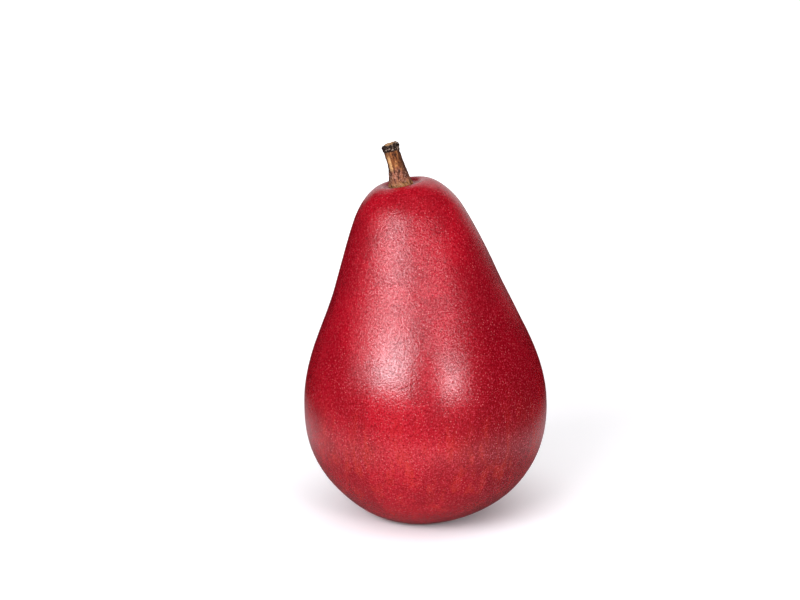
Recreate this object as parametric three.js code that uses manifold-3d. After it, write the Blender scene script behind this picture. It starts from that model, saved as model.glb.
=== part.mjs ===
// A ripe red pear standing on its calyx end: the fruit, its woody stem, and the dried
// calyx in the hollow underneath. Millimetres, +Z up, +X to the right as seen from the front (-Y).
import * as THREE from 'three';
import { mergeVertices } from 'three/addons/utils/BufferGeometryUtils.js';
import Module from 'manifold-3d';

// Fruit, turned about its core. Each ring has its radius from the core, its height above the surface
// that the fruit stands on, how much radius is lost for each millimetre up, and how far its slope is
// carried below and above it.
const BELLY = { radius: 36.4, height: 33.2, taper: 0, below: 24.2, above: 14 };
const NECK = { radius: 25.2, height: 70, taper: 0.41, below: 16, above: 4 };
const SHOULDER = { radius: 16.4, height: 92, taper: 0.45, below: 10.8, above: 5 };
const CROWN_RADIUS = 6.5; // highest ring, round the stem's dimple
const CROWN_HEIGHT = 101.8;
const CROWN_ROUNDING = 3.1;
const DIMPLE_RADIUS = 3.9;
const DIMPLE_HEIGHT = 100.6;
const DIMPLE_ROUNDING = 1.2;
const FOOT_OUTER = 10.4; // the flat spot is a ring round the basin
const FOOT_INNER = 8.6;
const FOOT_ROUNDING = 3.8;
const BASIN_ROUNDING = 1.2;
const EYE_RIM_RADIUS = 3.2;
const EYE_RIM_HEIGHT = 4.6;
const EYE_RIM_ROUNDING = 3;
const EYE_RADIUS = 2.6;
const EYE_HEIGHT = 6.6;
const FRUIT_SIDES = 64;
const FRUIT_STEPS = 8; // rings on each curve of the outline

// How the fruit leans: upright in the belly, then to the left up to the stem
const LEAN_START = 30;
const LEAN_HEIGHT = 70;
const LEAN_SHIFT = 6.2;
const LEAN_TILT = 0.18; // radians at the crown
const DIMPLE_SHIFT = 1;
const FOOT_SHIFT = 2; // the flat spot lies a little to the left of the belly
const FOOT_FADE = 11;

// Stem
const STEM_LENGTH = 12.2;
const STEM_FOOT_RADIUS = 3.5;
const STEM_FLARE_HEIGHT = 7;
const STEM_SHAFT_RADIUS = 2.35;
const STEM_END_RADIUS = 2.6;
const STEM_END_ROUNDING = 0.45;
const STEM_CURVE = 0.0073; // sideways bend for each millimetre of length, squared
const STEM_SIDES = 24;

// Calyx
const SEPALS = 5;
const SEPAL_LENGTH = 4.2;
const SEPAL_BASE_HALF_WIDTH = 0.9;
const SEPAL_SIDES = 12;
const SEPAL_FLATNESS = 0.2; // thickness over width
const SEPAL_START = 3.4; // from the eye's centre
const SEPAL_HEIGHT = 3.7;
const SEPAL_SLOPE = 0.55; // radians below level
const SEPAL_CURL = 0.03; // downward bend for each millimetre of length, squared
const STAMEN_PAD_RADIUS = 2.1;
const STAMEN_PAD_HEIGHT = 0.7;
const STAMENS = 12;
const STYLES = 5;
const STAMEN_RING = 1.5;
const STYLE_RING = 0.5;
const STAMEN_LENGTH = 2.6;
const STAMEN_RADIUS = 0.24;
const STAMEN_TIP_RADIUS = 0.14;
const STAMEN_SPLAY = 0.3;

const GAP = 0.3; // between pieces that touch

const skin = new THREE.MeshStandardMaterial({ color: '#ab1f2d', roughness: 0.38, metalness: 0 });
const bark = new THREE.MeshStandardMaterial({ color: '#8a5f42', roughness: 0.8, metalness: 0 });
const driedCalyx = new THREE.MeshStandardMaterial({ color: '#4a3325', roughness: 0.9, metalness: 0 });

// A closed shape turned about Z, from an outline of radius and height that starts and ends on the axis.
function turned(outline, steps, sides) {
  const geometry = new THREE.LatheGeometry(outline.getPoints(steps), sides);
  geometry.deleteAttribute('normal');
  geometry.deleteAttribute('uv');
  geometry.rotateX(Math.PI / 2);
  return mergeVertices(geometry, 1e-4);
}

// Moves each ring of a turned shape sideways and tips it, as a core that leans carries it.
function leaned(geometry, coreAt) {
  const place = geometry.getAttribute('position');
  for (let i = 0; i < place.count; i++) {
    const [x, y, z] = [place.getX(i), place.getY(i), place.getZ(i)];
    const { shift, tilt } = coreAt(z, Math.hypot(x, y));
    place.setXYZ(i, shift + x * Math.cos(tilt), y, z + x * Math.sin(tilt));
  }
  geometry.computeVertexNormals();
  return geometry;
}

// Where the fruit's core runs at a height, for a ring of a radius.
function fruitCore(height, radius) {
  const along = Math.max(0, (height - LEAN_START) / LEAN_HEIGHT);
  const inBasin = height < FOOT_FADE && radius < FOOT_OUTER;
  const settled = inBasin ? 1 : Math.max(0, 1 - height / FOOT_FADE) ** 2;
  const inCrown = height > SHOULDER.height ? 1 - radius / SHOULDER.radius : 0;
  return {
    shift: -LEAN_SHIFT * along ** 1.5 - FOOT_SHIFT * settled - DIMPLE_SHIFT * inCrown,
    tilt: LEAN_TILT * along,
  };
}

// Adds the curve from one ring of the fruit's outline up to the next.
function climb(path, from, to) {
  path.bezierCurveTo(
    from.radius - from.taper * from.above, from.height + from.above,
    to.radius + to.taper * to.below, to.height - to.below,
    to.radius, to.height,
  );
}

// From the eye, down the basin to the flat spot, up the belly and neck, over the crown to the dimple.
function fruitOutline() {
  const path = new THREE.Path();
  path.moveTo(0, EYE_HEIGHT);
  path.lineTo(EYE_RADIUS, EYE_HEIGHT);
  path.bezierCurveTo(
    EYE_RADIUS, (EYE_HEIGHT + EYE_RIM_HEIGHT) / 2,
    (EYE_RADIUS + EYE_RIM_RADIUS) / 2, EYE_RIM_HEIGHT,
    EYE_RIM_RADIUS, EYE_RIM_HEIGHT,
  );
  path.bezierCurveTo(
    EYE_RIM_RADIUS + EYE_RIM_ROUNDING, EYE_RIM_HEIGHT,
    FOOT_INNER - BASIN_ROUNDING, 0,
    FOOT_INNER, 0,
  );
  path.lineTo(FOOT_OUTER, 0);
  path.bezierCurveTo(
    FOOT_OUTER + FOOT_ROUNDING, 0,
    BELLY.radius, BELLY.height - BELLY.below,
    BELLY.radius, BELLY.height,
  );
  climb(path, BELLY, NECK);
  climb(path, NECK, SHOULDER);
  path.bezierCurveTo(
    SHOULDER.radius - SHOULDER.taper * SHOULDER.above, SHOULDER.height + SHOULDER.above,
    CROWN_RADIUS + CROWN_ROUNDING, CROWN_HEIGHT,
    CROWN_RADIUS, CROWN_HEIGHT,
  );
  path.bezierCurveTo(
    CROWN_RADIUS - DIMPLE_ROUNDING, CROWN_HEIGHT,
    DIMPLE_RADIUS + DIMPLE_ROUNDING, DIMPLE_HEIGHT,
    DIMPLE_RADIUS, DIMPLE_HEIGHT,
  );
  path.lineTo(0, DIMPLE_HEIGHT);
  return path;
}

function makeFruit() {
  const mesh = new THREE.Mesh(leaned(turned(fruitOutline(), FRUIT_STEPS, FRUIT_SIDES), fruitCore), skin);
  mesh.name = 'fruit';
  return mesh;
}

// The stem's foot is flared where it grows out of the fruit, and its cut end is swollen.
function makeStem() {
  const swellStart = (STEM_FLARE_HEIGHT + STEM_LENGTH) / 2;
  const path = new THREE.Path();
  path.moveTo(0, 0);
  path.lineTo(STEM_FOOT_RADIUS, 0);
  path.bezierCurveTo(
    STEM_FOOT_RADIUS, STEM_FLARE_HEIGHT / 3,
    STEM_SHAFT_RADIUS, STEM_FLARE_HEIGHT * 2 / 3,
    STEM_SHAFT_RADIUS, STEM_FLARE_HEIGHT,
  );
  path.bezierCurveTo(
    STEM_SHAFT_RADIUS, swellStart,
    STEM_END_RADIUS, swellStart,
    STEM_END_RADIUS, STEM_LENGTH - STEM_END_ROUNDING,
  );
  path.lineTo(STEM_END_RADIUS - STEM_END_ROUNDING, STEM_LENGTH);
  path.lineTo(0, STEM_LENGTH);
  const foot = fruitCore(DIMPLE_HEIGHT, 0);
  const stemCore = (height) => ({
    shift: -Math.tan(foot.tilt) * height - STEM_CURVE * height ** 2,
    tilt: foot.tilt + 2 * STEM_CURVE * height,
  });
  const mesh = new THREE.Mesh(leaned(turned(path, 6, STEM_SIDES), stemCore), bark);
  mesh.name = 'stem';
  mesh.position.set(foot.shift, 0, DIMPLE_HEIGHT + GAP);
  return mesh;
}

// A pointed lobe, turned, flattened and curled, lying out from the eye along the basin.
function makeSepal(name, turn) {
  const path = new THREE.Path();
  path.moveTo(0, 0);
  path.lineTo(SEPAL_BASE_HALF_WIDTH, 0);
  path.bezierCurveTo(
    SEPAL_BASE_HALF_WIDTH * 2, SEPAL_LENGTH / 3,
    SEPAL_BASE_HALF_WIDTH, SEPAL_LENGTH * 2 / 3,
    0, SEPAL_LENGTH,
  );
  const geometry = turned(path, 7, SEPAL_SIDES);
  geometry.scale(SEPAL_FLATNESS, 1, 1);
  leaned(geometry, (height) => ({
    shift: SEPAL_CURL * height ** 2,
    tilt: -2 * SEPAL_CURL * height,
  }));
  geometry.rotateY(Math.PI / 2 + SEPAL_SLOPE);
  geometry.translate(SEPAL_START, 0, SEPAL_HEIGHT);
  const mesh = new THREE.Mesh(geometry, driedCalyx);
  mesh.name = name;
  mesh.rotation.z = turn;
  return mesh;
}

// A pad on the eye's floor with the withered stamens in a ring and the styles inside it.
async function makeStamens() {
  const wasm = await Module();
  wasm.setup();
  const solidOf = (geometry) => {
    geometry.deleteAttribute('normal');
    geometry.deleteAttribute('uv');
    const merged = mergeVertices(geometry, 1e-4);
    return new wasm.Manifold(new wasm.Mesh({
      numProp: 3,
      vertProperties: merged.attributes.position.array,
      triVerts: new Uint32Array(merged.index.array),
    }));
  };
  const pad = new THREE.CylinderGeometry(STAMEN_PAD_RADIUS, STAMEN_PAD_RADIUS, STAMEN_PAD_HEIGHT, 20);
  pad.rotateX(Math.PI / 2);
  let tuft = solidOf(pad);
  const addRing = (count, radius, splay) => {
    for (let k = 0; k < count; k++) {
      const thread = new THREE.CylinderGeometry(STAMEN_RADIUS, STAMEN_TIP_RADIUS, STAMEN_LENGTH, 6);
      thread.rotateX(Math.PI / 2);
      thread.translate(0, 0, -STAMEN_LENGTH / 2);
      thread.rotateY(-splay);
      thread.translate(radius, 0, 0);
      thread.rotateZ((k * 2 * Math.PI) / count);
      tuft = tuft.add(solidOf(thread));
    }
  };
  addRing(STAMENS, STAMEN_RING, STAMEN_SPLAY);
  addRing(STYLES, STYLE_RING, 0);
  const { vertProperties, triVerts } = tuft.getMesh();
  const geometry = new THREE.BufferGeometry();
  geometry.setAttribute('position', new THREE.BufferAttribute(new Float32Array(vertProperties), 3));
  geometry.setIndex(new THREE.BufferAttribute(new Uint32Array(triVerts), 1));
  geometry.computeVertexNormals();
  const mesh = new THREE.Mesh(geometry, driedCalyx);
  mesh.name = 'dried_stamens';
  mesh.position.z = EYE_HEIGHT - GAP - STAMEN_PAD_HEIGHT / 2;
  return mesh;
}

const calyx = new THREE.Group();
calyx.position.x = -FOOT_SHIFT;
for (let k = 0; k < SEPALS; k++) {
  calyx.add(makeSepal(`sepal_${k + 1}`, (k * 2 * Math.PI) / SEPALS));
}
calyx.add(await makeStamens());

const pear = new THREE.Group();
pear.add(makeFruit(), makeStem(), calyx);

// The origin is the middle of the pear's box, on the surface it stands on.
const box = new THREE.Box3().setFromObject(pear, true);
const middle = box.getCenter(new THREE.Vector3());
pear.position.set(-middle.x, -middle.y, -box.min.z);

export default pear;
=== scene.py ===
import math
import random

import bpy
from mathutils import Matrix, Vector
from mathutils.geometry import interpolate_bezier


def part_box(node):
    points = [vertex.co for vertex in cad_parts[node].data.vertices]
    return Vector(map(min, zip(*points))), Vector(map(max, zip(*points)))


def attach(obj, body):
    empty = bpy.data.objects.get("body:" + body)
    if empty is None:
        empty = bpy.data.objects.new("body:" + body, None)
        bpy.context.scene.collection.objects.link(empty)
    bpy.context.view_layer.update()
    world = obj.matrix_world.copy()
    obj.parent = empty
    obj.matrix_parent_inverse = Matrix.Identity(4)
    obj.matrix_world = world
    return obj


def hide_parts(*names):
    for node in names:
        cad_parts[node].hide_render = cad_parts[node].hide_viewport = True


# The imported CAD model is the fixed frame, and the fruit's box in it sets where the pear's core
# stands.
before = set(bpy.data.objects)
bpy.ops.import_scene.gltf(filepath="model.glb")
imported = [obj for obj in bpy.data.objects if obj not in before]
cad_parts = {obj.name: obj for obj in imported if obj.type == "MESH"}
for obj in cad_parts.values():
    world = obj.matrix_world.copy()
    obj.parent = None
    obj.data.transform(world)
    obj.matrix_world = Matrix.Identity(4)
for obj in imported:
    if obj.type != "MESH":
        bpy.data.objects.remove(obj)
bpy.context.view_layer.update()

# ------------------------------------------------------------------------------------------------
# Fruit: the skin and flesh of a ripe red pear, grown as one body round a core that leans to the
# left. It runs from the eye of the calyx down the basin to the flat spot it stands on, then up
# the belly and neck and over the crown to the dimple that the stem grows out of.

MM = 0.001
FRUIT_SIDES = 88
# Start, its handle, the end's handle and the end of each curve, as radius and height in mm, and
# how many rings it gets
FRUIT_OUTLINE = (
    ((2.6, 6.6), (2.6, 5.6), (2.9, 4.6), (3.2, 4.6), 3),  # wall of the eye
    ((3.2, 4.6), (6.2, 4.6), (7.4, 0.0), (8.6, 0.0), 7),  # basin
    ((8.6, 0.0), (9.2, 0.0), (9.8, 0.0), (10.4, 0.0), 2),  # flat spot
    ((10.4, 0.0), (14.2, 0.0), (36.4, 9.0), (36.4, 33.2), 17),  # underside to belly
    ((36.4, 33.2), (36.4, 47.2), (31.76, 54.0), (25.2, 70.0), 14),  # belly to neck
    ((25.2, 70.0), (23.56, 74.0), (21.26, 81.2), (16.4, 92.0), 9),  # neck to shoulder
    ((16.4, 92.0), (14.15, 97.0), (9.6, 101.8), (6.5, 101.8), 8),  # shoulder to crown
    ((6.5, 101.8), (5.3, 101.8), (5.1, 100.6), (3.9, 100.6), 4),  # crown to dimple
)
BELLY_HEIGHT = 33.2
SHOULDER_HEIGHT = 92.0
SHOULDER_RADIUS = 16.4
DIMPLE_HEIGHT = 100.6
LEAN_START = 30.0
LEAN_HEIGHT = 70.0
LEAN_SHIFT = 6.2
LEAN_TILT = 0.18
FOOT_SHIFT = 2.0
FOOT_RADIUS = 10.4
FOOT_FADE = 11.0


def fruit_core(radius, height):
    """How far the core has shifted to the right there, in mm, and how far a ring on it tips up."""
    along = max(0.0, (height - LEAN_START) / LEAN_HEIGHT)
    in_basin = height < FOOT_FADE and radius < FOOT_RADIUS
    settled = 1.0 if in_basin else max(0.0, 1.0 - height / FOOT_FADE) ** 2
    in_crown = 1.0 - radius / SHOULDER_RADIUS if height > SHOULDER_HEIGHT else 0.0
    return -LEAN_SHIFT * along**1.5 - FOOT_SHIFT * settled - in_crown, LEAN_TILT * along


fruit_low, fruit_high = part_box("fruit")
CORE_X = (fruit_low.x + fruit_high.x) / 2 - fruit_core(0.0, BELLY_HEIGHT)[0] * MM


def start_rings(name, sides, centre, radius, turn=(0.0, 0.0, 0.0)):
    """A filled circle, open for editing and selected all over, that grow_ring draws out."""
    bpy.ops.object.select_all(action="DESELECT")
    bpy.ops.mesh.primitive_circle_add(
        vertices=sides, radius=radius, fill_type="TRIFAN", location=centre, rotation=turn
    )
    piece = bpy.context.object
    piece.name = name
    bpy.ops.object.transform_apply(location=True, rotation=True, scale=True)
    bpy.ops.object.mode_set(mode="EDIT")
    bpy.ops.mesh.select_all(action="SELECT")
    return piece


def grow_ring(move, centre, ratio, tip=0.0):
    """Extrudes the selected end by move to its new centre, resizes it and tips its right side up."""
    bpy.ops.mesh.extrude_region_move(TRANSFORM_OT_translate={"value": move})
    if isinstance(ratio, float):
        ratio = (ratio, ratio, ratio)
    bpy.ops.transform.resize(value=ratio, center_override=centre)
    if tip:
        bpy.ops.transform.rotate(value=tip, orient_axis="Y", center_override=centre)


def close_rings(piece):
    """Ends the editing of a closed piece with its faces pointing outwards and shaded smooth."""
    bpy.ops.mesh.select_all(action="SELECT")
    bpy.ops.mesh.normals_make_consistent(inside=False)
    bpy.ops.object.mode_set(mode="OBJECT")
    bpy.ops.object.shade_smooth()
    return piece


def shape_with(piece, kind, **settings):
    """Adds a modifier with these settings to a piece and applies it."""
    modifier = piece.modifiers.new(kind.title(), kind)
    for name, value in settings.items():
        setattr(modifier, name, value)
    bpy.context.view_layer.objects.active = piece
    bpy.ops.object.modifier_apply(modifier=modifier.name)


def smoothstep(low, high, value):
    """0 below low, 1 above high, and an S-shaped rise between them."""
    share = min(1.0, max(0.0, (value - low) / (high - low)))
    return share * share * (3.0 - 2.0 * share)


def cloud_texture(name, size, depth):
    """A cloudy noise texture for a displacement, with clouds of this size."""
    texture = bpy.data.textures.new(name, type="CLOUDS")
    texture.noise_scale = size
    texture.noise_depth = depth
    return texture


rings = []
for start, start_handle, end_handle, end, count in FRUIT_OUTLINE:
    points = [Vector((r, h, 0.0)) for r, h in (start, start_handle, end_handle, end)]
    curve = interpolate_bezier(*points, count + 1)
    rings += [(p.x, p.y) for p in (curve if not rings else curve[1:])]

radius, height = rings[0]
shift, tip = fruit_core(radius, height)
centre = Vector((CORE_X + shift * MM, 0.0, height * MM))
fruit = start_rings("fruit_skin", FRUIT_SIDES, centre, radius * MM)
for next_radius, next_height in rings[1:]:
    shift, next_tip = fruit_core(next_radius, next_height)
    next_centre = Vector((CORE_X + shift * MM, 0.0, next_height * MM))
    grow_ring(next_centre - centre, next_centre, next_radius / radius, next_tip - tip)
    centre, radius, tip = next_centre, next_radius, next_tip
close_rings(fruit)
shape_with(fruit, "SUBSURF", levels=2, render_levels=2)

# The flesh swells unevenly, by a third of a millimetre over 25 mm or so, except at the flat spot
# and in the hollows at both ends.
SWELLING_SIZE = 25 * MM
SWELLING_HEIGHT = 0.7 * MM
above_foot = fruit.vertex_groups.new(name="above_foot")
for vertex in fruit.data.vertices:
    weight = smoothstep(2 * MM, 14 * MM, vertex.co.z)
    weight *= 1.0 - 0.7 * smoothstep(94 * MM, 101 * MM, vertex.co.z)
    above_foot.add([vertex.index], weight, "REPLACE")
shape_with(
    fruit, "DISPLACE", texture=cloud_texture("swelling", SWELLING_SIZE, 1),
    texture_coords="LOCAL", strength=SWELLING_HEIGHT, mid_level=0.5, vertex_group="above_foot",
)
# Under the skin the flesh is grainy: soft grains 1.6 mm across and hundredths of a millimetre high
GRAIN_SIZE = 1.6 * MM
GRAIN_HEIGHT = 0.06 * MM
shape_with(
    fruit, "DISPLACE", texture=cloud_texture("grain", GRAIN_SIZE, 1),
    texture_coords="LOCAL", strength=GRAIN_HEIGHT, mid_level=0.5, vertex_group="above_foot",
)
fruit.vertex_groups.clear()


def linear(colour):
    """The linear RGBA that shaders take, from an sRGB hex colour."""
    channels = [int(colour[i : i + 2], 16) / 255 for i in (1, 3, 5)]
    return [c / 12.92 if c <= 0.04045 else ((c + 0.055) / 1.055) ** 2.4 for c in channels] + [1.0]


def add_node(material, kind, links=None, **settings):
    """Adds a node with its settings. links gives each input its value or the output that feeds it."""
    made = material.node_tree.nodes.new(kind)
    for name, value in settings.items():
        setattr(made, name, value)
    for name, value in (links or {}).items():
        if isinstance(value, bpy.types.NodeSocket):
            material.node_tree.links.new(value, made.inputs[name])
        else:
            made.inputs[name].default_value = value
    return made


def new_material(name, **surface):
    """A material with an empty tree but for its shader, whose own sockets get the uniform values."""
    material = bpy.data.materials.new(name)
    material.use_nodes = True
    material.node_tree.nodes.clear()
    shader = add_node(material, "ShaderNodeBsdfPrincipled")
    for socket, value in surface.items():
        shader.inputs[socket.replace("_", " ")].default_value = value
    add_node(material, "ShaderNodeOutputMaterial", {"Surface": shader.outputs["BSDF"]})
    return material, shader


# Ripe pear skin: a thin waxy cuticle over crimson cells. The wax gives a satin shine with a soft
# glare, and the skin under it is speckled with pale corky pores and flecked with orange-red.
SKIN_CRIMSON = "#990718"
SKIN_DEEP = "#890514"
# The next colour is the painted shade on the flanks
SKIN_PAINTED_SHADE = "#6c000c"
SKIN_DARK = "#520009"
SKIN_PINK = "#b83444"
SKIN_ORANGE = "#b42a12"
PORE_COLOUR = "#c46060"
PATCH_SIZE = 14 * MM
STREAK_WIDTH = 2.8 * MM
PORE_PATCH_SIZE = 6 * MM
PORE_SPACING = 0.85 * MM
PORE_SIZE = 0.2 * MM
PIT_SPACING = 0.75 * MM
PIT_SIZE = 0.17 * MM
PEEL_SIZE = 0.5 * MM
MOTTLE_SIZE = 0.5 * MM

skin, shader = new_material("waxy_pear_skin", Roughness=0.21, IOR=1.55)
place = add_node(skin, "ShaderNodeTexCoord").outputs["Object"]
patches = add_node(
    skin, "ShaderNodeTexNoise", {"Vector": place, "Scale": 1 / PATCH_SIZE, "Detail": 3.0}
)
deep = add_node(
    skin, "ShaderNodeMapRange",
    {"Value": patches.outputs["Fac"], "From Min": 0.42, "From Max": 0.6},
    interpolation_type="SMOOTHSTEP",
)
ground = add_node(
    skin, "ShaderNodeMix",
    {0: deep.outputs["Result"], 6: linear(SKIN_CRIMSON), 7: linear(SKIN_DEEP)},
    data_type="RGBA",
)
# Painted shade: the skin is darkened towards a deep red on the front of the right flank and, less, on
# the left flank
axes = add_node(skin, "ShaderNodeSeparateXYZ", {"Vector": place})
painted_shade_front = add_node(
    skin, "ShaderNodeMapRange",
    {"Value": axes.outputs["Y"], "From Min": -2 * MM, "From Max": -22 * MM, "To Max": 0.85},
    interpolation_type="SMOOTHSTEP",
)
painted_shade_right = add_node(
    skin, "ShaderNodeMapRange",
    {
        "Value": axes.outputs["X"],
        "From Min": 5 * MM,
        "From Max": 20 * MM,
        "To Max": painted_shade_front.outputs["Result"],
    },
    interpolation_type="SMOOTHSTEP",
)
painted_shade_left = add_node(
    skin, "ShaderNodeMapRange",
    {"Value": axes.outputs["X"], "From Min": -10 * MM, "From Max": -34 * MM, "To Max": 0.38},
    interpolation_type="SMOOTHSTEP",
)
painted_shade_share = add_node(
    skin, "ShaderNodeMath", {0: painted_shade_right.outputs["Result"], 1: painted_shade_left.outputs["Result"]},
    operation="ADD",
)
skin_with_painted_shade = add_node(
    skin, "ShaderNodeMix",
    {0: painted_shade_share.outputs["Value"], 6: ground.outputs[2], 7: linear(SKIN_PAINTED_SHADE)},
    data_type="RGBA",
)
# Streaks run up the fruit: 3 mm wide and drawn out six times as long, on the lower half only
upright = add_node(
    skin, "ShaderNodeMapping", {"Vector": place, "Scale": (1.0, 1.0, 0.16)}
)
streaks = add_node(
    skin, "ShaderNodeTexNoise",
    {
        "Vector": upright.outputs["Vector"],
        "Scale": 1 / STREAK_WIDTH,
        "Detail": 4.0,
        "Roughness": 0.65,
    },
)
low_down = add_node(
    skin, "ShaderNodeMapRange",
    {"Value": axes.outputs["Z"], "From Min": 52 * MM, "From Max": 24 * MM},
    interpolation_type="SMOOTHSTEP",
)
streaked = add_node(
    skin, "ShaderNodeMapRange",
    {"Value": streaks.outputs["Fac"], "From Min": 0.46, "From Max": 0.74, "To Max": 0.36},
    interpolation_type="SMOOTHSTEP",
)
orange_share = add_node(
    skin, "ShaderNodeMath",
    {0: low_down.outputs["Result"], 1: streaked.outputs["Result"]}, operation="MULTIPLY",
)
flecked = add_node(
    skin, "ShaderNodeMix",
    {0: orange_share.outputs["Value"], 6: skin_with_painted_shade.outputs[2], 7: linear(SKIN_ORANGE)},
    data_type="RGBA",
)
# Mottling: the cells under the wax are darker and paler in spots of half a millimetre
mottle = add_node(
    skin, "ShaderNodeTexNoise",
    {"Vector": place, "Scale": 1 / MOTTLE_SIZE, "Detail": 3.0, "Roughness": 0.7},
)
dark_spots = add_node(
    skin, "ShaderNodeMapRange",
    {"Value": mottle.outputs["Fac"], "From Min": 0.5, "From Max": 0.32, "To Max": 0.8},
)
pink_spots = add_node(
    skin, "ShaderNodeMapRange",
    {"Value": mottle.outputs["Fac"], "From Min": 0.54, "From Max": 0.74, "To Max": 0.75},
)
darkened = add_node(
    skin, "ShaderNodeMix",
    {0: dark_spots.outputs["Result"], 6: flecked.outputs[2], 7: linear(SKIN_DARK)},
    data_type="RGBA",
)
mottled = add_node(
    skin, "ShaderNodeMix",
    {0: pink_spots.outputs["Result"], 6: darkened.outputs[2], 7: linear(SKIN_PINK)},
    data_type="RGBA",
)
# Pores: pale corky dots 0.4 mm across and 0.85 mm apart, plainer in some places than in others
pore_patches = add_node(
    skin, "ShaderNodeTexNoise", {"Vector": place, "Scale": 1 / PORE_PATCH_SIZE, "Detail": 2.0}
)
pore_share = add_node(
    skin, "ShaderNodeMapRange",
    {
        "Value": pore_patches.outputs["Fac"],
        "From Min": 0.35,
        "From Max": 0.65,
        "To Min": 0.1,
        "To Max": 0.56,
    },
)
pores = add_node(
    skin, "ShaderNodeTexVoronoi", {"Vector": place, "Scale": 1 / PORE_SPACING}
)
pore = add_node(
    skin, "ShaderNodeMapRange",
    {
        "Value": pores.outputs["Distance"],
        "From Min": PORE_SIZE / PORE_SPACING,
        "From Max": 0.5 * PORE_SIZE / PORE_SPACING,
        "To Max": pore_share.outputs["Result"],
    },
    interpolation_type="SMOOTHSTEP",
)
speckled = add_node(
    skin, "ShaderNodeMix",
    {0: pore.outputs["Result"], 6: mottled.outputs[2], 7: linear(PORE_COLOUR)},
    data_type="RGBA",
)
# Pits: pin-pricks in the wax between the pores, 0.75 mm apart, dark and without shine
pits = add_node(skin, "ShaderNodeTexVoronoi", {"Vector": place, "Scale": 1 / PIT_SPACING})
pit = add_node(
    skin, "ShaderNodeMapRange",
    {
        "Value": pits.outputs["Distance"],
        "From Min": PIT_SIZE / PIT_SPACING,
        "From Max": 0.4 * PIT_SIZE / PIT_SPACING,
        "To Max": 0.7,
    },
    interpolation_type="SMOOTHSTEP",
)
pitted = add_node(
    skin, "ShaderNodeMix",
    {0: pit.outputs["Result"], 6: speckled.outputs[2], 7: linear(SKIN_DARK)},
    data_type="RGBA",
)
material_links = skin.node_tree.links
material_links.new(pitted.outputs[2], shader.inputs["Base Color"])
peel = add_node(
    skin, "ShaderNodeTexNoise",
    {"Vector": place, "Scale": 1 / PEEL_SIZE, "Detail": 2.0, "Roughness": 0.6},
)
# The wax lies in grains half a millimetre across: they shine more than the gaps between them. It
# is smooth on the belly and the crown, and coarser on the neck.
grain_share = add_node(
    skin, "ShaderNodeMapRange",
    {
        "Value": axes.outputs["Z"],
        "From Min": 50 * MM,
        "From Max": 72 * MM,
        "To Min": 0.32,
        "To Max": 0.85,
    },
    interpolation_type="SMOOTHSTEP",
)
up_to_crown = add_node(
    skin, "ShaderNodeMapRange",
    {
        "Value": axes.outputs["Z"],
        "From Min": 92 * MM,
        "From Max": 99 * MM,
        "To Min": grain_share.outputs["Result"],
        "To Max": 0.35,
    },
    interpolation_type="SMOOTHSTEP",
)
relief = add_node(
    skin, "ShaderNodeBump",
    {
        "Height": peel.outputs["Fac"],
        "Strength": up_to_crown.outputs["Result"],
        "Distance": 0.24 * MM,
    },
)
shiny_grain = add_node(
    skin, "ShaderNodeMapRange",
    {
        "Value": peel.outputs["Fac"],
        "From Min": 0.38,
        "From Max": 0.62,
        "To Min": 0.38,
        "To Max": 0.74,
    },
)
shine = add_node(
    skin, "ShaderNodeMath",
    {0: shiny_grain.outputs["Result"], 1: pit.outputs["Result"]},
    operation="SUBTRACT", use_clamp=True,
)
material_links.new(shine.outputs["Value"], shader.inputs["Specular IOR Level"])
# The pores stand up a little and the pits go in
raised = add_node(
    skin, "ShaderNodeBump",
    {
        "Height": pore.outputs["Result"],
        "Strength": 1.0,
        "Distance": 0.03 * MM,
        "Normal": relief.outputs["Normal"],
    },
)
sunken = add_node(
    skin, "ShaderNodeBump",
    {
        "Height": pit.outputs["Result"],
        "Strength": 1.0,
        "Distance": 0.04 * MM,
        "Normal": raised.outputs["Normal"],
    },
    invert=True,
)
material_links.new(sunken.outputs["Normal"], shader.inputs["Normal"])
fruit.data.materials.clear()
fruit.data.materials.append(skin)
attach(fruit, "root")
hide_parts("fruit")

# ------------------------------------------------------------------------------------------------
# Stem: a short woody stalk that grows out of the dimple, flared at its foot. It was cut from the
# tree with a snap, which left a pale rough face inside a dark wrinkled ring.

STEM_SIDES = 40
STEM_FOOT = Vector((CORE_X + fruit_core(0.0, DIMPLE_HEIGHT)[0] * MM, 0.0, DIMPLE_HEIGHT * MM))
STEM_TIP = fruit_core(0.0, DIMPLE_HEIGHT)[1]
STEM_CURVE = 0.0073
STALK_TILT = -STEM_TIP - STEM_CURVE * 12.0
# Height above the dimple and radius of each ring, in mm
STEM_RINGS = (
    (-0.15, 3.1), (0.05, 3.5), (0.45, 3.68), (0.9, 3.6), (1.4, 3.35), (2.0, 3.14), (2.7, 3.0),
    (3.5, 2.86), (4.3, 2.72), (5.1, 2.58), (5.9, 2.46), (6.7, 2.38), (7.5, 2.34), (8.3, 2.34),
    (9.1, 2.34), (9.9, 2.34), (10.5, 2.36), (10.85, 2.42), (11.05, 2.54), (11.3, 2.62), (11.6, 2.5),
    (11.8, 2.58), (12.1, 2.62), (12.35, 2.52), (12.5, 2.3), (12.47, 2.08), (12.2, 1.92),
    (12.12, 1.5), (12.14, 0.9), (12.06, 0.4),
)


def stem_core(height):
    """How far the stem's core has shifted to the right at a height, in mm, and how far it tips."""
    return -math.tan(STEM_TIP) * height - STEM_CURVE * height**2, STEM_TIP + 2 * STEM_CURVE * height


height, radius = STEM_RINGS[0]
stem = start_rings("stem_bark", STEM_SIDES, (0.0, 0.0, height * MM), radius * MM)
for next_height, next_radius in STEM_RINGS[1:]:
    move = (0.0, 0.0, (next_height - height) * MM)
    grow_ring(move, (0.0, 0.0, next_height * MM), next_radius / radius)
    height, radius = next_height, next_radius


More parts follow.
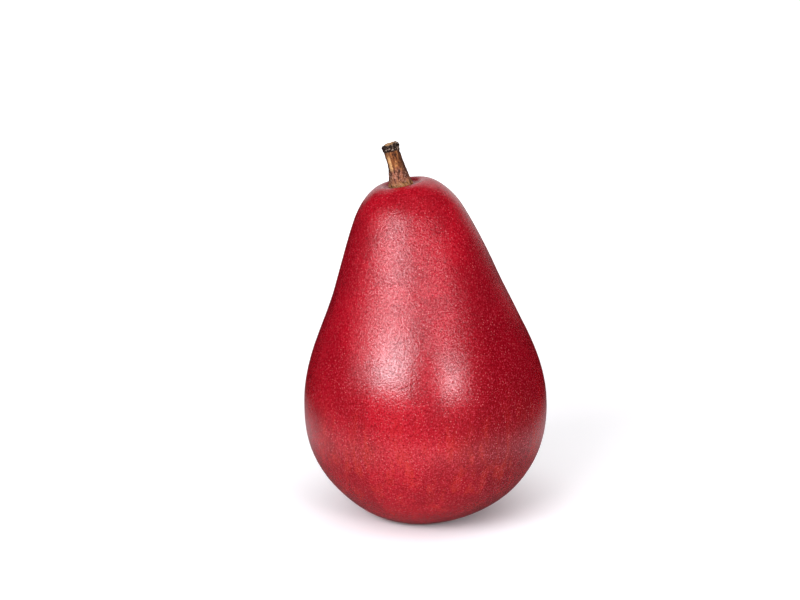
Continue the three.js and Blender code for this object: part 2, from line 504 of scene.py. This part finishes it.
def select_points(piece, chosen):
    """Selects the vertices that chosen says yes to, by their place, and nothing else."""
    bpy.ops.mesh.select_mode(type="VERT")
    bpy.ops.mesh.select_all(action="DESELECT")
    bpy.ops.object.mode_set(mode="OBJECT")
    for vertex in piece.data.vertices:
        vertex.select = chosen(vertex.co)
    bpy.ops.object.mode_set(mode="EDIT")


# Ridges and grooves run up the stalk: each column of points moves in or out by its own amount
RIDGES_END = 10.9 * MM
PITH_RADIUS = 1.9 * MM
RIDGE_DEPTH = 0.055
draw = random.Random(7)
for side in range(STEM_SIDES):
    angle = math.tau * side / STEM_SIDES
    towards = Vector((math.cos(angle), math.sin(angle)))
    select_points(
        stem,
        lambda co: co.z < RIDGES_END
        and co.xy.length > PITH_RADIUS
        and co.xy.normalized().dot(towards) > 0.999,
    )
    ratio = 1.0 + draw.uniform(-RIDGE_DEPTH, RIDGE_DEPTH)
    bpy.ops.transform.resize(value=(ratio, ratio, 1.0), center_override=(0.0, 0.0, 0.0))
# The stalk leans with the fruit's core and bends further over: its rings move and tip one by one
SAME_RING = 0.004 * MM
for height, _ in STEM_RINGS:
    select_points(stem, lambda co: abs(co.z - height * MM) < SAME_RING)
    shift, tip = stem_core(height)
    centre = STEM_FOOT + Vector((shift, 0.0, height)) * MM
    bpy.ops.transform.translate(value=centre - Vector((0.0, 0.0, height * MM)))
    bpy.ops.transform.rotate(value=tip, orient_axis="Y", center_override=centre)
close_rings(stem)
shape_with(stem, "SUBSURF", levels=2, render_levels=2)

# The bark's fibres, 0.8 mm wide and drawn out along the stalk by a frame that has its tilt, and
# then knobs and wrinkles all over it
fibre_frame = bpy.data.objects.new("fibre_frame", None)
bpy.context.scene.collection.objects.link(fibre_frame)
fibre_frame.rotation_euler.y = STALK_TILT
fibre_frame.scale = (MM, MM, 5 * MM)
bpy.context.view_layer.update()
shape_with(
    stem, "DISPLACE", texture=cloud_texture("fibres", 0.8, 3), texture_coords="OBJECT",
    texture_coords_object=fibre_frame, strength=0.35 * MM, mid_level=0.5,
)
shape_with(
    stem, "DISPLACE", texture=cloud_texture("knobs", 0.9 * MM, 2), texture_coords="LOCAL",
    strength=0.28 * MM, mid_level=0.5,
)
bpy.data.objects.remove(fibre_frame)
# The snapped end is torn and lumpy, by up to half a millimetre
snapped_end = stem.vertex_groups.new(name="snapped_end")
for vertex in stem.data.vertices:
    snapped_end.add([vertex.index], smoothstep(109.5 * MM, 111.5 * MM, vertex.co.z), "REPLACE")
shape_with(
    stem, "DISPLACE", texture=cloud_texture("lumps", 1.7 * MM, 1), texture_coords="LOCAL",
    strength=1.0 * MM, mid_level=0.5, vertex_group="snapped_end",
)
stem.vertex_groups.clear()

# Dry stalk bark: woody fibres in brown and tan, mauve-brown and warty towards the foot, which is
# ochre where it meets the skin. The snapped end is pale wood inside a blackened ring.
BARK_BROWN = "#6e3e1e"
BARK_GROOVE = "#2a130a"
BARK_TAN = "#9c683c"
# The next colour is a painted highlight
BARK_PAINTED_HIGHLIGHT = "#b88c5c"
BARK_MAUVE = "#86523f"
BARK_FLECK = "#a87e6c"
FOOT_OCHRE = "#8c643a"
RING_BLACK = "#180d08"
# The next colour is a painted highlight on the ring's wrinkles
RING_PAINTED_HIGHLIGHT = "#8c7868"
WOOD_FACE = "#a07c56"
FACE_RADIUS = 2.0 * MM
FIBRE_WIDTH = 0.7 * MM
WART_SIZE = 0.6 * MM

bark, shader = new_material("dry_stalk_bark", Roughness=0.75, IOR=1.45, Specular_IOR_Level=0.2)
place = add_node(bark, "ShaderNodeTexCoord").outputs["Object"]
along_stalk = add_node(
    bark, "ShaderNodeMapping",
    {"Vector": place, "Location": STEM_FOOT, "Rotation": (0.0, STALK_TILT, 0.0)},
    vector_type="TEXTURE",
)
axes = add_node(bark, "ShaderNodeSeparateXYZ", {"Vector": along_stalk.outputs["Vector"]})
drawn_out = add_node(
    bark, "ShaderNodeMapping",
    {"Vector": along_stalk.outputs["Vector"], "Scale": (1.0, 1.0, 0.3)},
)
fibre = add_node(
    bark, "ShaderNodeTexNoise",
    {
        "Vector": drawn_out.outputs["Vector"],
        "Scale": 1 / FIBRE_WIDTH,
        "Detail": 4.0,
        "Roughness": 0.6,
    },
)
warts = add_node(
    bark, "ShaderNodeTexNoise",
    {"Vector": place, "Scale": 1 / WART_SIZE, "Detail": 3.0, "Roughness": 0.6},
)
groove = add_node(
    bark, "ShaderNodeMapRange",
    {"Value": fibre.outputs["Fac"], "From Min": 0.5, "From Max": 0.36},
    interpolation_type="SMOOTHSTEP",
)
crest = add_node(
    bark, "ShaderNodeMapRange",
    {"Value": fibre.outputs["Fac"], "From Min": 0.53, "From Max": 0.66},
    interpolation_type="SMOOTHSTEP",
)
mauve_share = add_node(
    bark, "ShaderNodeMapRange",
    {"Value": axes.outputs["Z"], "From Min": 7.0 * MM, "From Max": 4.5 * MM, "To Max": 0.85},
    interpolation_type="SMOOTHSTEP",
)
ground = add_node(
    bark, "ShaderNodeMix",
    {0: mauve_share.outputs["Result"], 6: linear(BARK_BROWN), 7: linear(BARK_MAUVE)},
    data_type="RGBA",
)
foot_share = add_node(
    bark, "ShaderNodeMapRange",
    {"Value": axes.outputs["Z"], "From Min": 2.4 * MM, "From Max": 0.8 * MM, "To Max": 0.85},
    interpolation_type="SMOOTHSTEP",
)
with_foot = add_node(
    bark, "ShaderNodeMix",
    {0: foot_share.outputs["Result"], 6: ground.outputs[2], 7: linear(FOOT_OCHRE)},
    data_type="RGBA",
)
with_crests = add_node(
    bark, "ShaderNodeMix",
    {0: crest.outputs["Result"], 6: with_foot.outputs[2], 7: linear(BARK_TAN)},
    data_type="RGBA",
)
with_grooves = add_node(
    bark, "ShaderNodeMix",
    {0: groove.outputs["Result"], 6: with_crests.outputs[2], 7: linear(BARK_GROOVE)},
    data_type="RGBA",
)
# Painted highlight: a pale strip along the stalk left of the front's middle, above the warty part and
# fading towards the ring
off_painted_highlight = add_node(
    bark, "ShaderNodeMath", {0: axes.outputs["X"], 1: 1.25 * MM}, operation="ADD"
)
from_painted_highlight = add_node(
    bark, "ShaderNodeMath", {0: off_painted_highlight.outputs["Value"]}, operation="ABSOLUTE"
)
painted_highlight = add_node(
    bark, "ShaderNodeMapRange",
    {"Value": from_painted_highlight.outputs["Value"], "From Min": 0.65 * MM, "From Max": 0.25 * MM},
    interpolation_type="SMOOTHSTEP",
)
below_ring = add_node(
    bark, "ShaderNodeMapRange",
    {
        "Value": axes.outputs["Z"],
        "From Min": 10.4 * MM,
        "From Max": 8.6 * MM,
        "To Min": 0.2,
        "To Max": 0.95,
    },
    interpolation_type="SMOOTHSTEP",
)
painted_highlight_up = add_node(
    bark, "ShaderNodeMapRange",
    {
        "Value": axes.outputs["Z"],
        "From Min": 4.8 * MM,
        "From Max": 6.2 * MM,
        "To Max": below_ring.outputs["Result"],
    },
    interpolation_type="SMOOTHSTEP",
)
painted_highlight_share = add_node(
    bark, "ShaderNodeMath",
    {0: painted_highlight.outputs["Result"], 1: painted_highlight_up.outputs["Result"]}, operation="MULTIPLY",
)
with_painted_highlight = add_node(
    bark, "ShaderNodeMix",
    {0: painted_highlight_share.outputs["Value"], 6: with_grooves.outputs[2], 7: linear(BARK_PAINTED_HIGHLIGHT)},
    data_type="RGBA",
)
# Painted shade: the bark is darkened on both sides of the stalk, away from its middle, above the foot
from_middle = add_node(
    bark, "ShaderNodeMath", {0: axes.outputs["X"]}, operation="ABSOLUTE"
)
painted_side_shade = add_node(
    bark, "ShaderNodeMapRange",
    {
        "Value": from_middle.outputs["Value"],
        "From Min": 1.1 * MM,
        "From Max": 2.2 * MM,
        "To Max": 0.8,
    },
    interpolation_type="SMOOTHSTEP",
)
painted_side_shade_up = add_node(
    bark, "ShaderNodeMapRange",
    {"Value": axes.outputs["Z"], "From Min": 1.5 * MM, "From Max": 4.0 * MM},
    interpolation_type="SMOOTHSTEP",
)
painted_side_shade_share = add_node(
    bark, "ShaderNodeMath",
    {0: painted_side_shade.outputs["Result"], 1: painted_side_shade_up.outputs["Result"]}, operation="MULTIPLY",
)
with_painted_side_shade = add_node(
    bark, "ShaderNodeMix",
    {0: painted_side_shade_share.outputs["Value"], 6: with_painted_highlight.outputs[2], 7: linear(BARK_GROOVE)},
    data_type="RGBA",
)
# The ring below the snapped end is black, with grey painted highlights on the crests of its wrinkles
painted_highlight_crests = add_node(
    bark, "ShaderNodeMapRange",
    {"Value": warts.outputs["Fac"], "From Min": 0.53, "From Max": 0.64},
    interpolation_type="SMOOTHSTEP",
)
ring_colour = add_node(
    bark, "ShaderNodeMix",
    {0: painted_highlight_crests.outputs["Result"], 6: linear(RING_BLACK), 7: linear(RING_PAINTED_HIGHLIGHT)},
    data_type="RGBA",
)
ring_share = add_node(
    bark, "ShaderNodeMapRange",
    {"Value": axes.outputs["Z"], "From Min": 10.7 * MM, "From Max": 11.2 * MM},
    interpolation_type="SMOOTHSTEP",
)
with_ring = add_node(
    bark, "ShaderNodeMix",
    {0: ring_share.outputs["Result"], 6: with_painted_side_shade.outputs[2], 7: ring_colour.outputs[2]},
    data_type="RGBA",
)
# Inside the ring the wood is bare
across = add_node(
    bark, "ShaderNodeCombineXYZ", {"X": axes.outputs["X"], "Y": axes.outputs["Y"]}
)
from_pith = add_node(
    bark, "ShaderNodeVectorMath", {0: across.outputs["Vector"]}, operation="LENGTH"
)
inside_ring = add_node(
    bark, "ShaderNodeMapRange",
    {
        "Value": from_pith.outputs["Value"],
        "From Min": 1.1 * FACE_RADIUS,
        "From Max": 0.85 * FACE_RADIUS,
    },
    interpolation_type="SMOOTHSTEP",
)
on_face = add_node(
    bark, "ShaderNodeMath",
    {0: inside_ring.outputs["Result"], 1: ring_share.outputs["Result"]}, operation="MULTIPLY",
)
with_face = add_node(
    bark, "ShaderNodeMix",
    {0: on_face.outputs["Value"], 6: with_ring.outputs[2], 7: linear(WOOD_FACE)},
    data_type="RGBA",
)
# Pale flecks lie on the mauve part, and dark scales all over the bark and the snapped wood
fleck = add_node(
    bark, "ShaderNodeMapRange",
    {
        "Value": warts.outputs["Fac"],
        "From Min": 0.57,
        "From Max": 0.68,
        "To Max": mauve_share.outputs["Result"],
    },
)
fleck_share = add_node(
    bark, "ShaderNodeMath",
    {0: fleck.outputs["Result"], 1: ring_share.outputs["Result"]}, operation="SUBTRACT",
    use_clamp=True,
)
with_flecks = add_node(
    bark, "ShaderNodeMix",
    {0: fleck_share.outputs["Value"], 6: with_face.outputs[2], 7: linear(BARK_FLECK)},
    data_type="RGBA",
)
scale_share = add_node(
    bark, "ShaderNodeMapRange",
    {"Value": warts.outputs["Fac"], "From Min": 0.46, "From Max": 0.36, "To Max": 0.75},
)
with_scales = add_node(
    bark, "ShaderNodeMix",
    {0: scale_share.outputs["Result"], 6: with_flecks.outputs[2], 7: linear(BARK_GROOVE)},
    data_type="RGBA",
)
material_links = bark.node_tree.links
material_links.new(with_scales.outputs[2], shader.inputs["Base Color"])
relief = add_node(
    bark, "ShaderNodeBump",
    {"Height": fibre.outputs["Fac"], "Strength": 0.8, "Distance": 0.15 * MM},
)
rough = add_node(
    bark, "ShaderNodeBump",
    {
        "Height": warts.outputs["Fac"],
        "Strength": 0.6,
        "Distance": 0.12 * MM,
        "Normal": relief.outputs["Normal"],
    },
)
material_links.new(rough.outputs["Normal"], shader.inputs["Normal"])
stem.data.materials.clear()
stem.data.materials.append(bark)
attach(stem, "root")
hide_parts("stem")

# ------------------------------------------------------------------------------------------------
# Sepals: the five lobes of the flower's calyx, which stay on the fruit as dry, brown, curled
# tongues round the eye. They are alike, so one is modelled and the others are turned copies.

SEPALS = 5
CALYX_CENTRE = Vector((CORE_X - FOOT_SHIFT * MM, 0.0, 0.0))
SEPAL_SIDES = 20
SEPAL_START = Vector((3.3, 0.0, 3.75)) * MM
SEPAL_SLOPE = 0.55
SEPAL_CURL = 0.05
# Distance along the lobe, half its width and half its thickness there, in mm
SEPAL_RINGS = (
    (0.0, 0.8, 0.24), (0.15, 0.86, 0.25), (0.5, 1.08, 0.24), (0.9, 1.2, 0.22), (1.3, 1.22, 0.21),
    (1.7, 1.14, 0.2), (2.1, 1.02, 0.19), (2.5, 0.84, 0.18), (2.9, 0.66, 0.17), (3.3, 0.46, 0.16),
    (3.7, 0.28, 0.14), (3.95, 0.17, 0.11), (4.05, 0.08, 0.06),
)


def sepal_width(along):
    """Half the lobe's width at a distance along it, in metres."""
    for (near, near_width, _), (far, far_width, _) in zip(SEPAL_RINGS, SEPAL_RINGS[1:]):
        if along <= far * MM:
            share = (along / MM - near) / (far - near)
            return (near_width + share * (far_width - near_width)) * MM
    return SEPAL_RINGS[-1][1] * MM


along, width, thickness = SEPAL_RINGS[0]
flat_start = (0.0, math.pi / 2, 0.0)
lobe = start_rings("sepal_lobe_1", SEPAL_SIDES, (0.0, 0.0, 0.0), width * MM, flat_start)
bpy.ops.transform.resize(value=(1.0, 1.0, thickness / width), center_override=(0.0, 0.0, 0.0))
for next_along, next_width, next_thickness in SEPAL_RINGS[1:]:
    grow_ring(
        ((next_along - along) * MM, 0.0, 0.0), (next_along * MM, 0.0, 0.0),
        (1.0, next_width / width, next_thickness / thickness),
    )
    along, width, thickness = next_along, next_width, next_thickness
# The edges have dried up and inwards, and a rib stands along the middle of the side that shows
select_points(lobe, lambda co: abs(co.y) > 0.8 * sepal_width(co.x))
bpy.ops.transform.translate(value=(0.0, 0.0, -0.28 * MM))
select_points(lobe, lambda co: abs(co.y) < 0.2 * sepal_width(co.x) and co.z < 0.0)
bpy.ops.transform.translate(value=(0.0, 0.0, -0.12 * MM))
for along, _, _ in SEPAL_RINGS:
    select_points(lobe, lambda co: abs(co.x - along * MM) < SAME_RING)
    slope = SEPAL_SLOPE + SEPAL_CURL * along
    centre = CALYX_CENTRE + SEPAL_START
    centre += Vector((math.cos(slope), 0.0, -math.sin(slope))) * along * MM
    bpy.ops.transform.translate(value=centre - Vector((along * MM, 0.0, 0.0)))
    tip = -slope - SEPAL_CURL * along
    bpy.ops.transform.rotate(value=tip, orient_axis="Y", center_override=centre)
close_rings(lobe)
shape_with(lobe, "SUBSURF", levels=1, render_levels=1)


def turned_copy(piece, name, turn):
    """A copy of a piece with its own mesh, turned anticlockwise round the calyx's centre."""
    bpy.ops.object.select_all(action="DESELECT")
    piece.select_set(True)
    bpy.context.view_layer.objects.active = piece
    bpy.ops.object.duplicate(linked=False)
    copy = bpy.context.object
    copy.name = name
    bpy.ops.object.mode_set(mode="EDIT")
    bpy.ops.mesh.select_all(action="SELECT")
    bpy.ops.transform.rotate(value=-turn, orient_axis="Z", center_override=CALYX_CENTRE)
    bpy.ops.object.mode_set(mode="OBJECT")
    return copy


lobes = [lobe]
for k in range(1, SEPALS):
    lobes.append(turned_copy(lobe, f"sepal_lobe_{k + 1}", math.tau * k / SEPALS))
crumple = cloud_texture("crumple", 0.9 * MM, 2)

# Dead calyx tissue: papery and dull, dark brown with paler dry edges and veins
CALYX_BROWN = "#3c2818"
CALYX_PALE = "#7a5c3c"
VEIN_SIZE = 0.4 * MM
calyx, shader = new_material("dried_calyx_tissue", Roughness=0.9, IOR=1.4)
place = add_node(calyx, "ShaderNodeTexCoord").outputs["Object"]
veins = add_node(
    calyx, "ShaderNodeTexNoise",
    {"Vector": place, "Scale": 1 / VEIN_SIZE, "Detail": 4.0, "Roughness": 0.7},
)
pale = add_node(
    calyx, "ShaderNodeMapRange",
    {"Value": veins.outputs["Fac"], "From Min": 0.42, "From Max": 0.68},
)
calyx_colour = add_node(
    calyx, "ShaderNodeMix",
    {0: pale.outputs["Result"], 6: linear(CALYX_BROWN), 7: linear(CALYX_PALE)}, data_type="RGBA",
)
papery = add_node(
    calyx, "ShaderNodeBump",
    {"Height": veins.outputs["Fac"], "Strength": 0.7, "Distance": 0.1 * MM},
)
calyx.node_tree.links.new(calyx_colour.outputs[2], shader.inputs["Base Color"])
calyx.node_tree.links.new(papery.outputs["Normal"], shader.inputs["Normal"])
for number, lobe in enumerate(lobes, start=1):
    shape_with(
        lobe, "DISPLACE", texture=crumple, texture_coords="LOCAL", strength=0.22 * MM, mid_level=0.5
    )
    lobe.data.materials.append(calyx)
    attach(lobe, "root")
    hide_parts(f"sepal_{number}")

# ------------------------------------------------------------------------------------------------
# Dried stamens: a pad on the floor of the eye, with twelve withered stamens that end in dead
# anthers, and five styles inside them. They hang straight down into the basin.

STAMENS = 12
STYLES = 5
STAMEN_RING = 1.5
STYLE_RING = 0.5
EYE_HEIGHT = 6.6
# Drop below the eye's floor, distance further out from the calyx's centre, and radius, in mm
STAMEN_RINGS = (
    (0.7, 0.0, 0.26), (1.1, 0.1, 0.19), (1.6, 0.26, 0.15), (2.1, 0.42, 0.13), (2.45, 0.5, 0.15),
    (2.65, 0.54, 0.24), (2.9, 0.56, 0.27), (3.1, 0.55, 0.2), (3.18, 0.54, 0.08),
)
STYLE_RINGS = (
    (0.7, 0.0, 0.24), (1.2, 0.02, 0.18), (1.8, 0.08, 0.15), (2.4, 0.16, 0.14), (2.8, 0.22, 0.2),
    (2.95, 0.24, 0.12),
)
PAD_RINGS = ((0.05, 2.1), (0.35, 2.15), (0.75, 2.0), (0.95, 1.5), (1.0, 0.8), (1.0, 0.3))


def hanging_thread(name, start_out, thread_rings):
    """A withered thread that hangs from the eye's floor, on the right of the calyx's centre."""
    drop, out, radius = thread_rings[0]
    centre = CALYX_CENTRE + Vector((start_out + out, 0.0, EYE_HEIGHT - drop)) * MM
    thread = start_rings(name, 8, centre, radius * MM)
    for next_drop, next_out, next_radius in thread_rings[1:]:
        next_centre = Vector((start_out + next_out, 0.0, EYE_HEIGHT - next_drop)) * MM
        next_centre += CALYX_CENTRE
        grow_ring(next_centre - centre, next_centre, next_radius / radius)
        centre, radius = next_centre, next_radius
    close_rings(thread)
    shape_with(thread, "SUBSURF", levels=1, render_levels=1)
    return thread


drop, radius = PAD_RINGS[0]
pad_centre = CALYX_CENTRE + Vector((0.0, 0.0, (EYE_HEIGHT - drop) * MM))
pad = start_rings("stamen_tuft", 32, pad_centre, radius * MM)
for next_drop, next_radius in PAD_RINGS[1:]:
    next_centre = CALYX_CENTRE + Vector((0.0, 0.0, (EYE_HEIGHT - next_drop) * MM))
    grow_ring(next_centre - pad_centre, next_centre, next_radius / radius)
    pad_centre, radius = next_centre, next_radius
close_rings(pad)
shape_with(pad, "SUBSURF", levels=1, render_levels=1)
stamen = hanging_thread("stamen", STAMEN_RING, STAMEN_RINGS)
style = hanging_thread("style", STYLE_RING, STYLE_RINGS)
threads = [turned_copy(stamen, "stamen_copy", math.tau * k / STAMENS) for k in range(1, STAMENS)]
threads += [turned_copy(style, "style_copy", math.tau * k / STYLES) for k in range(1, STYLES)]
bpy.ops.object.select_all(action="DESELECT")
for thread in threads + [stamen, style, pad]:
    thread.select_set(True)
bpy.context.view_layer.objects.active = pad
bpy.ops.object.join()
shape_with(
    pad, "DISPLACE", texture=crumple, texture_coords="LOCAL", strength=0.3 * MM, mid_level=0.5
)
pad.data.materials.append(calyx)
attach(pad, "root")
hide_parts("dried_stamens")

# ------------------------------------------------------------------------------------------------
# Table: plain white studio paper, laid flat and running out of sight on all sides.

PAPER_SIZE = 6.0
bpy.ops.object.select_all(action="DESELECT")
bpy.ops.mesh.primitive_plane_add(size=PAPER_SIZE, location=(0.0, 0.0, 0.0))
table = bpy.context.object
table.name = "white_paper"
paper, shader = new_material("matte_white_paper", Roughness=0.9)
shader.inputs["Base Color"].default_value = linear("#f6f6f6")
shader.inputs["Specular IOR Level"].default_value = 0.1
# Painted light: the paper glows by itself, not right under the pear and more with distance from it,
# so that it is darker round the foot
from_middle = add_node(
    paper, "ShaderNodeVectorMath",
    {0: add_node(paper, "ShaderNodeTexCoord").outputs["Object"]}, operation="LENGTH",
)
painted_glow_near = add_node(
    paper, "ShaderNodeMapRange",
    {
        "Value": from_middle.outputs["Value"],
        "From Min": 8 * MM,
        "From Max": 60 * MM,
        "To Max": 0.32,
    },
    interpolation_type="SMOOTHSTEP",
)
painted_glow_far = add_node(
    paper, "ShaderNodeMapRange",
    {"Value": from_middle.outputs["Value"], "From Min": 0.1, "From Max": 0.6, "To Max": 0.5},
    interpolation_type="SMOOTHSTEP",
)
painted_glow = add_node(
    paper, "ShaderNodeMath", {0: painted_glow_near.outputs["Result"], 1: painted_glow_far.outputs["Result"]},
    operation="ADD",
)
shader.inputs["Emission Color"].default_value = (1.0, 1.0, 1.0, 1.0)
paper.node_tree.links.new(painted_glow.outputs["Value"], shader.inputs["Emission Strength"])
table.data.materials.append(paper)
table.visible_glossy = False
# What the wax shows of the paper is a ring round the pear, as with dark card laid beyond it: its
# colour is darker near the foot, a painted shadow of the pear, and fades away outwards
REFLECTED_RADIUS = 180 * MM
bpy.ops.object.select_all(action="DESELECT")
bpy.ops.mesh.primitive_circle_add(
    vertices=64, radius=REFLECTED_RADIUS, fill_type="NGON", location=(0.0, 0.0, 0.02 * MM)
)
reflected = bpy.context.object
reflected.name = "white_paper_reflected"
faded, shader = new_material("paper_fading_into_the_dark", Roughness=0.9)
shader.inputs["Specular IOR Level"].default_value = 0.0
from_middle = add_node(
    faded, "ShaderNodeVectorMath",
    {0: add_node(faded, "ShaderNodeTexCoord").outputs["Object"]}, operation="LENGTH",
)
painted_foot_shadow = add_node(
    faded, "ShaderNodeMapRange",
    {
        "Value": from_middle.outputs["Value"],
        "From Min": 44 * MM,
        "From Max": 92 * MM,
        "To Min": 0.15,
        "To Max": 0.56,
    },
    interpolation_type="SMOOTHSTEP",
)
fade = add_node(
    faded, "ShaderNodeMapRange",
    {
        "Value": from_middle.outputs["Value"],
        "From Min": REFLECTED_RADIUS,
        "From Max": 78 * MM,
        "To Max": painted_foot_shadow.outputs["Result"],
    },
    interpolation_type="SMOOTHSTEP",
)
faded.node_tree.links.new(fade.outputs["Result"], shader.inputs["Base Color"])
reflected.data.materials.append(faded)
reflected.visible_camera = False
reflected.visible_diffuse = False
reflected.visible_shadow = False

# ------------------------------------------------------------------------------------------------
# Light: a large softbox left of the camera and a small one right of it, which make the two glares
# on the belly. Soft white light from the front and from all round doesn't shine in the wax, and
# three dim white boards, one at the left and two behind, only shine in it, along the flanks.

AMBIENT = 0.28
world = bpy.data.worlds.new("white_surround")
bpy.context.scene.world = world
world.use_nodes = True
surround = world.node_tree.nodes["Background"]
surround.inputs["Color"].default_value = (1.0, 1.0, 1.0, 1.0)
seen = add_node(
    world, "ShaderNodeMapRange",
    {
        "Value": add_node(world, "ShaderNodeLightPath").outputs["Is Camera Ray"],
        "To Min": AMBIENT,
        "To Max": 1.0,
    },
)
world.node_tree.links.new(seen.outputs["Result"], surround.inputs["Strength"])
world.cycles_visibility.glossy = False

LIGHT_CENTRE = Vector((0.0, 0.0, 0.055))
SOFTBOX_DISTANCE = 0.9


def add_softbox(name, left, right, low, high, radiance):
    """A rectangular light facing the pear, from angles round it and above it, in degrees."""
    azimuth = math.radians((left + right) / 2)
    elevation = math.radians((low + high) / 2)
    towards = Vector((
        math.sin(azimuth) * math.cos(elevation),
        -math.cos(azimuth) * math.cos(elevation),
        math.sin(elevation),
    ))
    width = 2 * SOFTBOX_DISTANCE * math.tan(math.radians((right - left) / 2))
    height = 2 * SOFTBOX_DISTANCE * math.tan(math.radians((high - low) / 2))
    lamp = bpy.data.lights.new(name, type="AREA")
    lamp.shape = "RECTANGLE"
    lamp.color = (1.0, 0.97, 1.03)
    lamp.size = width
    lamp.size_y = height
    lamp.energy = radiance * math.pi * width * height
    softbox = bpy.data.objects.new(name, lamp)
    bpy.context.scene.collection.objects.link(softbox)
    softbox.location = LIGHT_CENTRE + towards * SOFTBOX_DISTANCE
    softbox.rotation_euler = towards.to_track_quat("Z", "Y").to_euler()
    softbox.visible_camera = False
    return softbox


add_softbox("left_softbox", -53, -16, 17, 37, 12.0)
left_spill = add_softbox("left_spill", -80, -57, 12, 40, 1.9)
left_spill.visible_diffuse = False
add_softbox("right_softbox", 18, 38, 15, 26, 12.6)
backdrop = add_softbox("backdrop", 142, 208, -6, 46, 0.62)
backdrop.data.color = (1.1, 0.94, 0.96)
backdrop.data.shape = "ELLIPSE"
backdrop.visible_diffuse = False
top_strip = add_softbox("top_strip", -25, 35, 126, 132, 1.6)
top_strip.visible_diffuse = False
front_fill = add_softbox("front_fill", -25, 50, 5, 80, 1.35)
front_fill.visible_glossy = False

# ------------------------------------------------------------------------------------------------
# Camera: straight in front, looking 15 degrees down

CAMERA_TARGET = Vector((-0.00754, 0.0, 0.0662))
CAMERA_DISTANCE = 0.658
CAMERA_ELEVATION = math.radians(15.0)
lens = bpy.data.cameras.new("camera")
lens.lens = 100.0
lens.sensor_width = 36.0
lens.clip_start = 0.01
camera = bpy.data.objects.new("camera", lens)
bpy.context.scene.collection.objects.link(camera)
back = Vector((0.0, -math.cos(CAMERA_ELEVATION), math.sin(CAMERA_ELEVATION)))
camera.location = CAMERA_TARGET + CAMERA_DISTANCE * back
camera.rotation_euler = (math.pi / 2 - CAMERA_ELEVATION, 0.0, 0.0)
bpy.context.scene.camera = camera
bpy.context.scene.view_settings.view_transform = "Standard"
